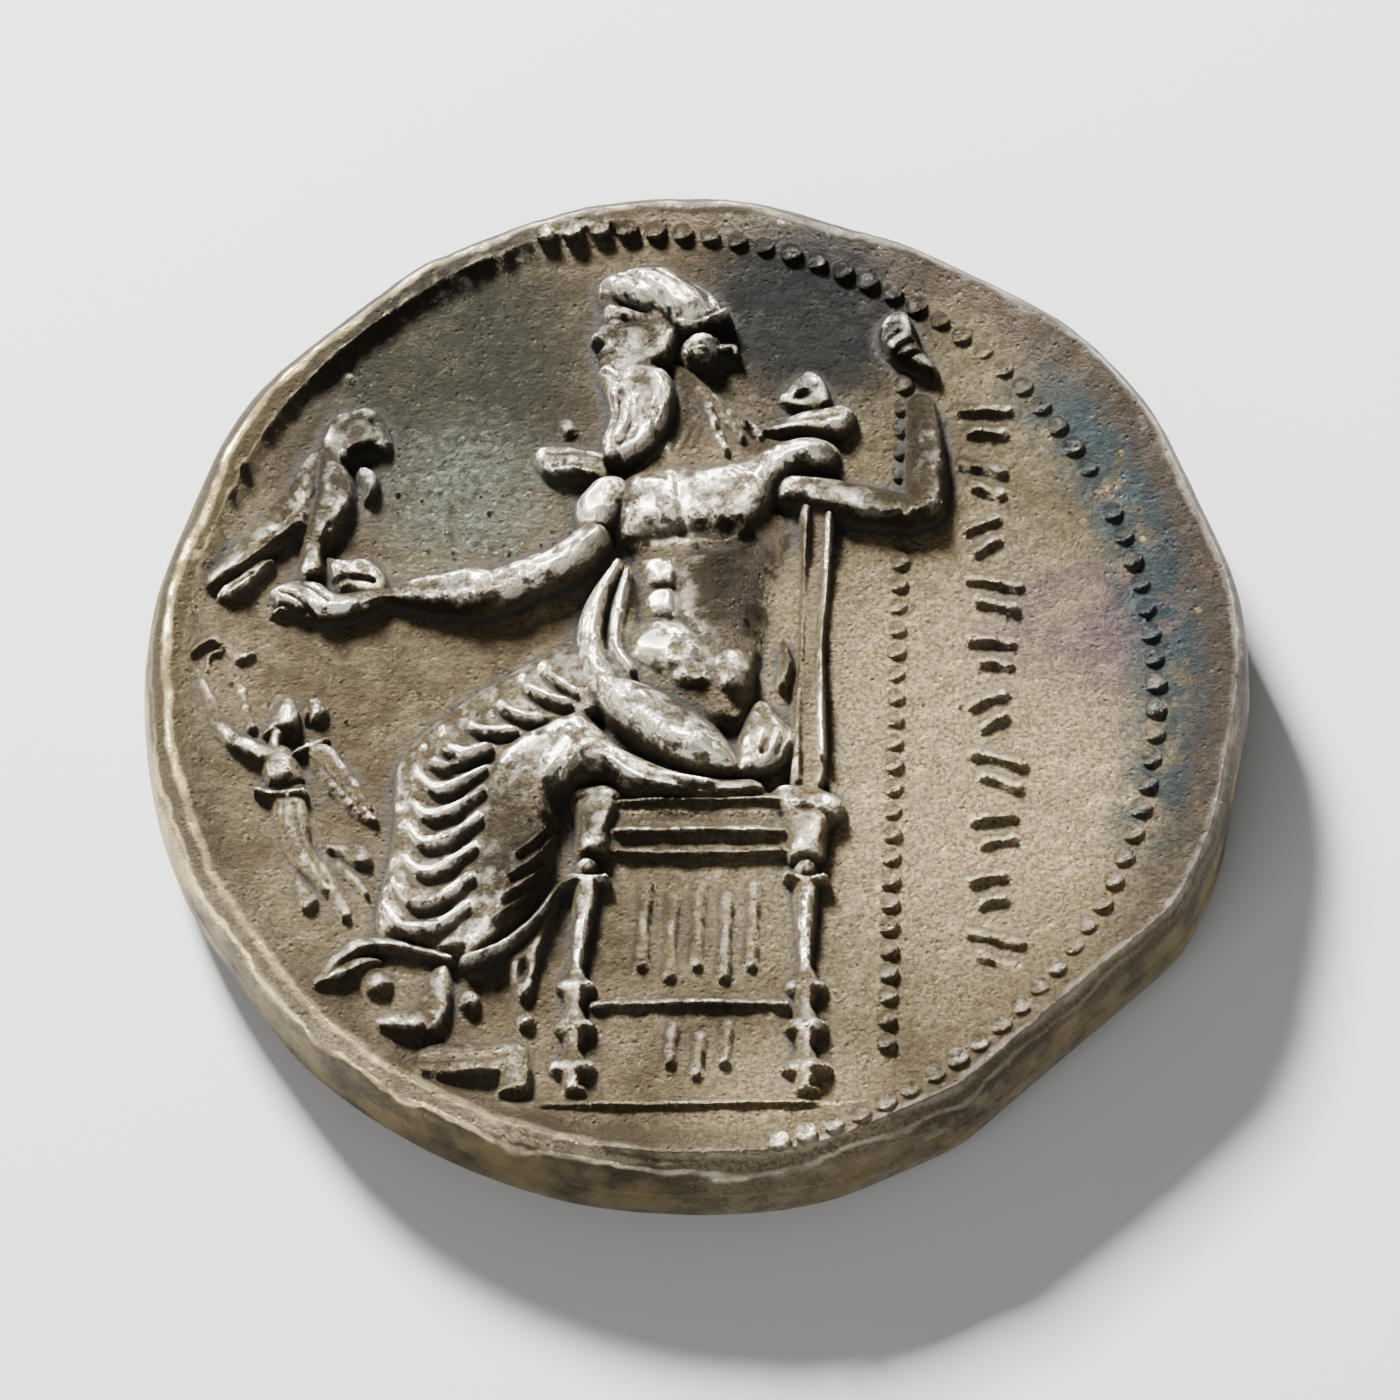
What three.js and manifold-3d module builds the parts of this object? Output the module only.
// An ancient silver coin, struck by hand on a thick round blank. It lies on its plainer side with the
// seated figure up: +X is behind the figure, +Y is up the picture, +Z is up, and sizes are millimetres.
import * as THREE from "three";
import { mergeVertices } from "three/addons/utils/BufferGeometryUtils.js";
import Module from "manifold-3d";

const wasm = await Module();
wasm.setup();

// The struck blank
const BLANK_DIAMETER = 27.28;
const FIELD_HEIGHT = 3.1;
const RIM_RISE = 0.4;
const RIM_WIDTH = 1.5;
const RIM_SHIFT = 0.4;
const CREST_INSET = 0.62;
const SHOULDER_INSET = 0.15;
const SHOULDER_DROP = 0.42;
const WALL_DROP = 1.2;
const UNDER_FIELD_HEIGHT = 0.4;
const UNDER_RIM_HEIGHT = 0.3;
const UNDER_CREST_INSET = 0.9;
const UNDER_SHOULDER_INSET = 0.24;
const UNDER_SHOULDER_RISE = 0.24;
const UNDER_WALL_RISE = 0.9;

// Flats that the hammer left on the edge: the way each one faces and how deep it cuts into the round
const HAMMER_FLATS = [
  { degrees: 22, cut: 0.19 },
  { degrees: 60, cut: 0.32 },
  { degrees: 73, cut: 0.3 },
  { degrees: 114, cut: 0.09 },
  { degrees: 132, cut: 0.19 },
  { degrees: 160, cut: 0.14 },
  { degrees: 215, cut: 0.13 },
  { degrees: 296, cut: 0.23 },
  { degrees: 313, cut: 0.61 },
  { degrees: 349, cut: 0.12 },
];
const CORNER_SOFTNESS = 0.06;

// The picture side
const FIGURE_HEIGHT = 23;
const RELIEF_RISE = 1.3;
const BEAD_RING_DIAMETER = 25.8;
const BEAD_RING_CENTRE = [-1.75, -0.45];
const BEAD_PITCH = 0.72;
const BEAD_DIAMETER = 0.58;
const BEAD_RISE = 0.28;
const BEAD_EDGE_MARGIN = 0.75;
const STAFF_TOP = [5.15, 8.1];
const STAFF_FOOT = [4.55, -10];
const STAFF_BEAD_PITCH = 0.62;
const STAFF_BEAD_DIAMETER = 0.46;

// The strokes in the field: a column of short pairs on the right, and upright bars under the seat
const STROKE_WIDTH = 0.3;
const STROKE_RISE = 0.22;
const STROKE_LENGTH = 1.2;
const STROKE_PAIRS = 10;
const STROKE_PAIR_PITCH = 1.62;
const STROKE_PAIR_GAP = 0.62;
const STROKE_COLUMN_TOP = [6.75, 7.4];
const BAR_PITCH = 0.66;
const SEAT_BARS = { count: 5, middle: [0, -7], length: 2.1 };
const FOOT_BARS = { count: 3, middle: [0, -10.2], length: 0.9 };

// The underside
const BOSS_DIAMETER = 3.6;
const BOSS_TAPER = 0.25;
const PETALS = 8;
const PETAL_LENGTH = 2.1;
const PETAL_WIDTH = 1.05;
const PETAL_RISE = 0.3;
const WREATH_DIAMETER = 16.4;
const WREATH_LEAVES = 16;
const LEAF_LENGTH = 3.1;
const LEAF_WIDTH = 1.05;
const LEAF_RISE = 0.54;
const LEAF_TURN_DEGREES = 17;

// The figure's forms below are drawn at this height and this boldness
const DRAWN_HEIGHT = 23;
const DRAWN_RISE = 1.15;
const drawn = FIGURE_HEIGHT / DRAWN_HEIGHT;
const bold = RELIEF_RISE / DRAWN_RISE;

const EDGE_FACETS = 64;
const LIMB_SIDES = 8;
const THIN_SIDES = 6;
const BEAD_SIDES = 5;
const BOSS_SIDES = 16;
const DOME_STEPS = 4;

const silver = new THREE.MeshStandardMaterial({ color: 0x9a8f7c, roughness: 0.36, metalness: 1 });
const rimHeight = FIELD_HEIGHT + RIM_RISE;

// A closed geometry as a solid
function toSolid(geometry) {
  const bare = geometry.clone();
  for (const name of Object.keys(bare.attributes)) {
    if (name !== "position") bare.deleteAttribute(name);
  }
  const merged = mergeVertices(bare, 1e-5);
  return new wasm.Manifold(
    new wasm.Mesh({
      numProp: 3,
      vertProperties: merged.attributes.position.array,
      triVerts: new Uint32Array(merged.index.array),
    }),
  );
}

// A solid as a geometry with flat facets
function toGeometry(solid) {
  const mesh = solid.getMesh();
  const geometry = new THREE.BufferGeometry();
  geometry.setAttribute("position", new THREE.BufferAttribute(new Float32Array(mesh.vertProperties), 3));
  geometry.setIndex(new THREE.BufferAttribute(new Uint32Array(mesh.triVerts), 1));
  geometry.computeVertexNormals();
  return geometry;
}

// How far the edge stands from the middle in one direction: round, cut back softly by the flats
function edgeRadius(angle) {
  const radius = BLANK_DIAMETER / 2;
  const reaches = [radius];
  for (const { degrees, cut } of HAMMER_FLATS) {
    const facing = Math.cos(angle - THREE.MathUtils.degToRad(degrees));
    if (facing > 0.5) reaches.push((radius - cut) / facing);
  }
  const softened = reaches.reduce((sum, reach) => sum + Math.exp((radius - reach) / CORNER_SOFTNESS), 0);
  return radius - CORNER_SOFTNESS * Math.log(softened);
}

// How far in from the edge the rim's slope reaches: wider on the right, where the die sat off the blank
function rimWidth(angle) {
  return RIM_WIDTH + RIM_SHIFT * Math.cos(angle);
}

// A closed body of revolution-like rings, from the middle of its lowest face to the middle of its top
function ringedBody(rings) {
  const positions = [0, 0, rings[0].z, 0, 0, rings.at(-1).z];
  for (const { inset, z } of rings) {
    for (let facet = 0; facet < EDGE_FACETS; facet++) {
      const angle = (facet / EDGE_FACETS) * 2 * Math.PI;
      const reach = edgeRadius(angle) - inset(angle);
      positions.push(reach * Math.cos(angle), reach * Math.sin(angle), z);
    }
  }
  const at = (ring, facet) => 2 + ring * EDGE_FACETS + (facet % EDGE_FACETS);
  const last = rings.length - 1;
  const faces = [];
  for (let facet = 0; facet < EDGE_FACETS; facet++) {
    faces.push(0, at(0, facet + 1), at(0, facet));
    for (let ring = 0; ring < last; ring++) {
      faces.push(at(ring, facet), at(ring, facet + 1), at(ring + 1, facet));
      faces.push(at(ring + 1, facet), at(ring, facet + 1), at(ring + 1, facet + 1));
    }
    faces.push(1, at(last, facet), at(last, facet + 1));
  }
  const geometry = new THREE.BufferGeometry();
  geometry.setAttribute("position", new THREE.Float32BufferAttribute(positions, 3));
  geometry.setIndex(faces);
  return geometry;
}

// The blank, from its underside round the bulging edge to the rim's crest and the field
function blank() {
  return ringedBody([
    { inset: rimWidth, z: UNDER_FIELD_HEIGHT },
    { inset: () => UNDER_CREST_INSET, z: UNDER_RIM_HEIGHT },
    { inset: () => UNDER_SHOULDER_INSET, z: UNDER_RIM_HEIGHT + UNDER_SHOULDER_RISE },
    { inset: () => 0, z: UNDER_RIM_HEIGHT + UNDER_WALL_RISE },
    { inset: () => 0, z: rimHeight - WALL_DROP },
    { inset: () => SHOULDER_INSET, z: rimHeight - SHOULDER_DROP },
    { inset: () => CREST_INSET, z: rimHeight },
    { inset: rimWidth, z: FIELD_HEIGHT },
  ]);
}

// The room inside the rim's crests, down to the surface that the coin lies on: a picture larger than the
// blank is cut off there, and what would hang lower has been worn away
function pictureRoom() {
  return ringedBody([
    { inset: () => CREST_INSET, z: 0 },
    { inset: () => CREST_INSET, z: rimHeight + RELIEF_RISE },
  ]);
}

// A low rounded form with its girth in the level plane
function dome(halfLength, halfWidth, rise, sides) {
  const geometry = new THREE.SphereGeometry(1, sides, DOME_STEPS);
  geometry.rotateX(Math.PI / 2);
  geometry.scale(halfLength, halfWidth, rise);
  return geometry;
}

// A rounded, tapering form that lies half sunk in the field between two points of the picture
function limb(from, to, fromRadius, toRadius, rise, sides = LIMB_SIDES) {
  const start = new THREE.Vector2(...from).multiplyScalar(drawn);
  const end = new THREE.Vector2(...to).multiplyScalar(drawn);
  const [near, far] = [fromRadius * drawn, toRadius * drawn];
  const length = start.distanceTo(end);
  const profile = [
    new THREE.Vector2(0, -near),
    new THREE.Vector2(near, 0),
    new THREE.Vector2(far, length),
    new THREE.Vector2(0, length + far),
  ];
  if (sides > THIN_SIDES) {
    profile.splice(1, 0, new THREE.Vector2(near, -near).multiplyScalar(Math.SQRT1_2));
    profile.splice(4, 0, new THREE.Vector2(far * Math.SQRT1_2, length + far * Math.SQRT1_2));
  }
  const geometry = new THREE.LatheGeometry(profile, sides);
  if (sides === THIN_SIDES) geometry.rotateY(Math.PI / sides);
  geometry.scale(1, 1, (rise * bold) / Math.max(near, far));
  geometry.rotateZ(end.clone().sub(start).angle() - Math.PI / 2);
  geometry.translate(start.x, start.y, FIELD_HEIGHT);
  return geometry;
}

// A rounded swelling in the field
function mound(centre, halfWidth, halfHeight, rise, tiltDegrees = 0, sides = LIMB_SIDES) {
  const geometry = dome(halfWidth * drawn, halfHeight * drawn, rise * bold, sides);
  geometry.rotateZ(THREE.MathUtils.degToRad(tiltDegrees));
  geometry.translate(centre[0] * drawn, centre[1] * drawn, FIELD_HEIGHT);
  return geometry;
}

// A thin ridge through several points
function ridge(points, radius, rise) {
  return points.slice(1).map((to, index) => limb(points[index], to, radius, radius, rise, THIN_SIDES));
}

function head() {
  return [
    mound([-0.85, 10.3], 1.6, 0.85, 0.95, -14),
    mound([-1.3, 9.1], 0.95, 1.15, 0.75),
    limb([-2.1, 9.5], [-2.35, 9.15], 0.14, 0.2, 0.5, THIN_SIDES),
    limb([-1.3, 8.2], [-1.8, 6.5], 0.75, 0.35, 0.7),
    mound([0.15, 9.05], 0.52, 0.52, 0.75),
    limb([-0.3, 8.5], [0.2, 6.4], 0.7, 0.95, 0.45),
    limb([0.3, 8.1], [0.95, 6.5], 0.16, 0.16, 0.55, THIN_SIDES),
    limb([0.75, 7.9], [1.45, 6.7], 0.15, 0.15, 0.5, THIN_SIDES),
  ];
}

function torso() {
  return [
    mound([-0.95, 4.75], 1.2, 1.0, 1.1),
    mound([0.95, 4.8], 1.2, 1.1, 1.15),
    limb([0.15, 3.4], [-0.15, 0.6], 1.7, 1.6, 0.85),
    mound([-0.85, 0.65], 1.05, 0.7, 1.0),
    mound([0.85, 0.0], 0.6, 0.65, 0.95),
    mound([-0.95, 2.75], 0.42, 0.4, 0.95, 0, THIN_SIDES),
    mound([-0.95, 1.75], 0.42, 0.4, 0.95, 0, THIN_SIDES),
  ];
}

function arms() {
  return [
    limb([1.6, 5.6], [2.8, 5.85], 0.75, 0.75, 1.0),
    limb([3.2, 5.35], [5.4, 4.7], 0.65, 0.55, 0.75),
    limb([5.65, 4.6], [5.55, 7.9], 0.6, 0.42, 0.7),
    limb([5.0, 9.5], [5.6, 8.5], 0.45, 0.42, 0.6),
    mound([-2.55, 4.6], 0.62, 0.6, 0.7, 30),
    limb([-2.95, 3.8], [-4.5, 2.75], 0.55, 0.46, 0.65),
    limb([-4.6, 2.5], [-7.3, 2.2], 0.5, 0.32, 0.58),
    limb([-7.9, 2.0], [-9.2, 1.9], 0.36, 0.4, 0.45),
    limb([-9.3, 2.2], [-10.5, 2.05], 0.24, 0.12, 0.4, THIN_SIDES),
    limb([-9.3, 1.75], [-10.4, 1.6], 0.22, 0.1, 0.35, THIN_SIDES),
    limb([-7.8, 2.5], [-8.6, 3.1], 0.24, 0.16, 0.4, THIN_SIDES),
  ];
}

// The hanging folds over the far leg: each sags in the middle, and they widen a little downwards
function farFolds() {
  const folds = { count: 7, top: -2.9, pitch: 0.62, left: -7.15, right: -5.5, widening: 0.07, sag: 0.4 };
  return Array.from({ length: folds.count }, (_, fold) => {
    const y = folds.top - fold * folds.pitch;
    const left = folds.left - fold * folds.widening;
    const middle = [(left + folds.right) / 2, y - folds.sag];
    return ridge([[left, y + 0.1], middle, [folds.right, y + 0.15]], 0.15, 0.6);
  }).flat();
}

// The short folds that climb the far thigh to the waist
function thighFolds() {
  const folds = { count: 4, low: [-6.7, -2], high: [-4.1, -0.25], run: [1.15, -0.35] };
  return Array.from({ length: folds.count }, (_, fold) => {
    const high = new THREE.Vector2(...folds.high);
    const start = new THREE.Vector2(...folds.low).lerp(high, fold / (folds.count - 1));
    return ridge([start.toArray(), [start.x + folds.run[0], start.y + folds.run[1]]], 0.14, 0.6);
  }).flat();
}

// The folds that sweep down from the back of the near shin to the foot
function shinFolds() {
  const folds = { count: 3, pitch: 0.42 };
  return Array.from({ length: folds.count }, (_, fold) => {
    const drop = fold * folds.pitch;
    return ridge([[-3.62, -4.2 - drop], [-4 - drop * 0.1, -5.6 - drop], [-4.85, -6.6 - drop]], 0.13, 0.72);
  }).flat();
}

// The cloak: its roll at the waist, the lap, both legs under cloth and the loose hems
function cloak() {
  return [
    limb([-1.95, 2.5], [-2.7, 1.3], 0.26, 0.32, 0.65),
    limb([-2.75, 1.2], [-2.4, 0.0], 0.32, 0.42, 0.75),
    limb([-2.0, -0.6], [0.5, -1.9], 0.72, 0.72, 1.05),
    limb([1.2, -2.3], [-3.9, -2.15], 0.7, 0.98, 0.88),
    limb([-4.45, -2.5], [-5.15, -7.4], 1.0, 0.6, 0.9),
    limb([-3.7, -0.5], [-6.5, -2.7], 0.75, 0.95, 0.45),
    limb([-6.55, -2.7], [-6.65, -6.2], 0.92, 1.05, 0.45),
    ...farFolds(),
    ...thighFolds(),
    ...shinFolds(),
    ...ridge([[-3.3, -5.6], [-3.7, -6.6], [-4.6, -7.4], [-5.4, -7.8]], 0.16, 0.62),
    limb([-3.7, -6.5], [-4.15, -8.5], 0.14, 0.26, 0.35, THIN_SIDES),
    ...ridge([[1.55, -0.7], [2.15, -1.4], [1.85, -2.1], [1.15, -2.45]], 0.24, 0.55),
    ...ridge([[-5.9, -7.65], [-7.8, -7.4], [-9.4, -8.1]], 0.24, 0.42),
    mound([-7.75, -8.3], 0.4, 0.42, 0.5, 0, THIN_SIDES),
  ];
}

function feetAndStool() {
  return [
    limb([-6.15, -8.0], [-6.4, -8.9], 0.36, 0.4, 0.55, THIN_SIDES),
    limb([-6.45, -9.4], [-7.8, -9.6], 0.42, 0.22, 0.5),
    limb([-6.7, -10.5], [-4.6, -10.45], 0.42, 0.42, 0.42, THIN_SIDES),
    limb([-4.35, -10.5], [-4.45, -11.2], 0.28, 0.24, 0.3, THIN_SIDES),
  ];
}

// One turned leg of the throne: cap, block, collar, tapering shaft and three discs
function throneLeg(x, lean, blockWidth) {
  const discs = [
    { y: -8.45, halfWidth: 0.55 },
    { y: -9.5, halfWidth: 0.48 },
    { y: -10.5, halfWidth: 0.62 },
  ];
  return [
    mound([x, -3.3], blockWidth * 0.6, 0.45, 0.68),
    limb([x, -3.7], [x, -4.8], blockWidth / 2, blockWidth * 0.42, 0.55),
    mound([x, -5.6], blockWidth / 2, 0.22, 0.55, 0, THIN_SIDES),
    limb([x, -5.9], [x + lean, -8.1], 0.34, 0.2, 0.42, THIN_SIDES),
    ...discs.map(({ y, halfWidth }) => mound([x + lean, y], halfWidth, 0.25, 0.5, 0, THIN_SIDES)),
    limb([x + lean, -8.3], [x + lean, -11.1], 0.15, 0.15, 0.3, THIN_SIDES),
  ];
}

// The throne with its back post and top rail, and the line that it stands on
function throne() {
  return [
    ...throneLeg(-2.5, -0.35, 1.1),
    ...throneLeg(2.6, 0, 1.2),
    ...ridge([[-1.9, -3.7], [2.1, -3.7]], 0.3, 0.4),
    ...ridge([[-1.9, -4.4], [2.1, -4.45]], 0.26, 0.42),
    ...ridge([[-2.6, -8.95], [2.1, -8.95]], 0.14, 0.22),
    ...ridge([[2.55, 4.4], [2.45, -2.6]], 0.16, 0.3),
    ...ridge([[3.05, 4.4], [2.85, -2.8]], 0.3, 0.38),
    ...ridge([[1.5, 7.1], [3.65, 7.1]], 0.26, 0.4),
    ...ridge([[2.5, 7.6], [2.9, 8.15], [3.2, 7.75]], 0.15, 0.3),
    ...ridge([[-5.1, -11.5], [4.2, -11.45]], 0.14, 0.2),
    mound([-3.3, 6.85], 0.32, 0.3, 0.26, 0, THIN_SIDES),
    limb([-3.5, 5.8], [-2.7, 5.85], 0.4, 0.35, 0.4),
  ];
}

function eagle() {
  return [
    mound([-8.35, 6.85], 0.55, 0.42, 0.5, -10),
    limb([-7.95, 6.75], [-7.65, 6.35], 0.2, 0.08, 0.35, THIN_SIDES),
    limb([-8.8, 6.75], [-9.1, 5.7], 0.35, 0.5, 0.5),
    limb([-9.1, 5.4], [-9.3, 4.2], 0.55, 0.3, 0.5),
    limb([-9.7, 5.5], [-11.9, 2.9], 0.42, 0.2, 0.5),
    limb([-10.4, 3.9], [-11.6, 2.2], 0.35, 0.22, 0.38, THIN_SIDES),
    limb([-8.15, 5.7], [-8.25, 4.95], 0.22, 0.1, 0.3, THIN_SIDES),
    limb([-9.45, 4.1], [-9.6, 2.8], 0.22, 0.16, 0.35, THIN_SIDES),
  ];
}

// The small winged figure in front of the feet, holding out a wreath
function wingedFigure() {
  const wreath = { middle: [-11.55, 0.3], radius: 0.5, points: 5, openingDegrees: 60 };
  const wreathPoints = Array.from({ length: wreath.points }, (_, step) => {
    const angle = THREE.MathUtils.degToRad(wreath.openingDegrees * (step + 1));
    const [x, y] = wreath.middle;
    return [x + wreath.radius * Math.cos(angle), y + wreath.radius * Math.sin(angle)];
  });
  return [
    mound([-9.95, -1.1], 0.42, 0.38, 0.42, 20),
    mound([-9.3, -1.0], 0.26, 0.24, 0.36, 0, THIN_SIDES),
    limb([-10.2, -1.9], [-10.25, -2.7], 0.42, 0.5, 0.42),
    limb([-10.5, -2.1], [-11.5, -1.8], 0.24, 0.16, 0.36, THIN_SIDES),
    limb([-11.5, -1.8], [-12.0, -0.5], 0.16, 0.1, 0.26, THIN_SIDES),
    limb([-10.0, -3.3], [-9.75, -4.6], 0.36, 0.4, 0.4),
    limb([-9.6, -4.9], [-8.9, -5.9], 0.34, 0.18, 0.34, THIN_SIDES),
    limb([-9.6, -5.5], [-9.4, -6.3], 0.2, 0.24, 0.28, THIN_SIDES),
    limb([-9.4, -4.6], [-8.15, -4.85], 0.2, 0.22, 0.3, THIN_SIDES),
    ...ridge([[-9.9, -2.2], [-9.2, -2.0], [-8.6, -2.8]], 0.16, 0.32),
    ...ridge([[-9.7, -2.9], [-9.1, -3.0], [-8.0, -3.95]], 0.2, 0.32),
    ...ridge(wreathPoints, 0.1, 0.2),
  ];
}

// One shallow stroke in the field
function stroke(from, to) {
  const start = new THREE.Vector2(...from);
  const run = new THREE.Vector2(...to).sub(start);
  const half = STROKE_WIDTH / 2;
  const profile = [
    new THREE.Vector2(0, -half),
    new THREE.Vector2(half, 0),
    new THREE.Vector2(half, run.length()),
    new THREE.Vector2(0, run.length() + half),
  ];
  const geometry = new THREE.LatheGeometry(profile, THIN_SIDES);
  geometry.rotateY(Math.PI / THIN_SIDES);
  geometry.scale(1, 1, STROKE_RISE / half);
  geometry.rotateZ(run.angle() - Math.PI / 2);
  geometry.translate(start.x, start.y, FIELD_HEIGHT);
  return geometry;
}

// The column of short slanted pairs that bends with the ring of beads
function strokeColumn() {
  const bend = 0.0035;
  const slant = 0.16;
  const [left, top] = STROKE_COLUMN_TOP;
  return Array.from({ length: STROKE_PAIRS }, (_, pair) => {
    const y = top - pair * STROKE_PAIR_PITCH;
    const x = left - bend * (y + 1) ** 2;
    const tip = slant * Math.sin(pair * 2.3);
    const length = STROKE_LENGTH * (1 - 0.2 * (pair % 3));
    const low = y - STROKE_PAIR_GAP;
    const inset = STROKE_LENGTH / 5;
    return [
      stroke([x, y + tip], [x + length, y - tip]),
      stroke([x + inset, low + tip], [x + inset + length * 0.7, low - tip]),
    ];
  }).flat();
}

// A row of upright bars, by turns high and low
function strokeBars({ count, middle, length }) {
  return Array.from({ length: count }, (_, bar) => {
    const x = middle[0] + (bar - (count - 1) / 2) * BAR_PITCH;
    const y = middle[1] + (bar % 2 ? -1 : 1) * STROKE_WIDTH * 0.4;
    return stroke([x + 0.05, y + length / 2], [x - 0.05, y - length / 2]);
  });
}

// One bead, raised with the field or with the rim's slope where it stands on that
function bead(x, y, diameter) {
  const angle = Math.atan2(y, x);
  const inset = edgeRadius(angle) - Math.hypot(x, y);
  const climb = THREE.MathUtils.clamp((rimWidth(angle) - inset) / (rimWidth(angle) - CREST_INSET), 0, 1);
  const geometry = dome(diameter / 2, diameter / 2, BEAD_RISE, BEAD_SIDES);
  geometry.translate(x, y, FIELD_HEIGHT + climb * RIM_RISE);
  return geometry;
}

// The ring of beads round the picture, as far as the blank holds it
function beadRing() {
  const radius = BEAD_RING_DIAMETER / 2;
  const count = Math.round((Math.PI * BEAD_RING_DIAMETER) / BEAD_PITCH);
  const beads = [];
  for (let step = 0; step < count; step++) {
    const turn = (step / count) * 2 * Math.PI;
    const x = BEAD_RING_CENTRE[0] + radius * Math.cos(turn);
    const y = BEAD_RING_CENTRE[1] + radius * Math.sin(turn);
    if (Math.hypot(x, y) < edgeRadius(Math.atan2(y, x)) - BEAD_EDGE_MARGIN) {
      beads.push(bead(x, y, BEAD_DIAMETER));
    }
  }
  return beads;
}

// The beaded staff that the raised hand holds
function staff() {
  const top = new THREE.Vector2(...STAFF_TOP).multiplyScalar(drawn);
  const foot = new THREE.Vector2(...STAFF_FOOT).multiplyScalar(drawn);
  const count = Math.round(top.distanceTo(foot) / STAFF_BEAD_PITCH);
  return Array.from({ length: count + 1 }, (_, step) => {
    const place = top.clone().lerp(foot, step / count);
    return bead(place.x, place.y, STAFF_BEAD_DIAMETER);
  });
}

// The plainer side: a petalled boss in a wreath, both hanging down to the surface the coin lies on
function underside() {
  const around = (geometry, reach, turn, twist) => {
    geometry.rotateZ(turn + twist);
    geometry.translate(reach * Math.cos(turn), reach * Math.sin(turn), UNDER_FIELD_HEIGHT);
    return geometry;
  };
  const bossRadius = BOSS_DIAMETER / 2;
  const faceRadius = bossRadius - BOSS_TAPER;
  const boss = new THREE.CylinderGeometry(bossRadius, faceRadius, 2 * UNDER_FIELD_HEIGHT, BOSS_SIDES);
  boss.rotateX(Math.PI / 2);
  const petals = Array.from({ length: PETALS }, (_, petal) => {
    const turn = ((petal + 0.5) / PETALS) * 2 * Math.PI;
    const shape = dome(PETAL_LENGTH / 2, PETAL_WIDTH / 2, PETAL_RISE, THIN_SIDES);
    return around(shape, bossRadius + PETAL_LENGTH / 2, turn, 0);
  });
  const leaves = Array.from({ length: WREATH_LEAVES }, (_, leaf) => {
    const turn = ((leaf + 0.5) / WREATH_LEAVES) * 2 * Math.PI;
    const side = leaf % 2 ? 1 : -1;
    const twist = Math.PI / 2 - side * THREE.MathUtils.degToRad(LEAF_TURN_DEGREES);
    const reach = (WREATH_DIAMETER + side * LEAF_WIDTH) / 2;
    const shape = dome(LEAF_LENGTH / 2, LEAF_WIDTH / 2, LEAF_RISE, THIN_SIDES);
    return around(shape, reach, turn, twist);
  });
  return [around(boss, 0, 0, 0), ...petals, ...leaves];
}

const forms = [
  ...head(),
  ...torso(),
  ...arms(),
  ...cloak(),
  ...feetAndStool(),
  ...throne(),
  ...eagle(),
  ...wingedFigure(),
  ...strokeColumn(),
  ...strokeBars(SEAT_BARS),
  ...strokeBars(FOOT_BARS),
  ...beadRing(),
  ...staff(),
  ...underside(),
];
const relief = forms.map(toSolid).reduce((fused, form) => fused.add(form));
const struck = toSolid(blank()).add(relief.intersect(toSolid(pictureRoom())));
const coin = new THREE.Mesh(toGeometry(struck), silver);
coin.name = "coin";

// The origin is under the middle of the coin's own box, on the surface that it lies on
coin.geometry.computeBoundingBox();
const middle = coin.geometry.boundingBox.getCenter(new THREE.Vector3());
coin.position.set(-middle.x, -middle.y, 0);

const part = new THREE.Group();
part.add(coin);

export default part;
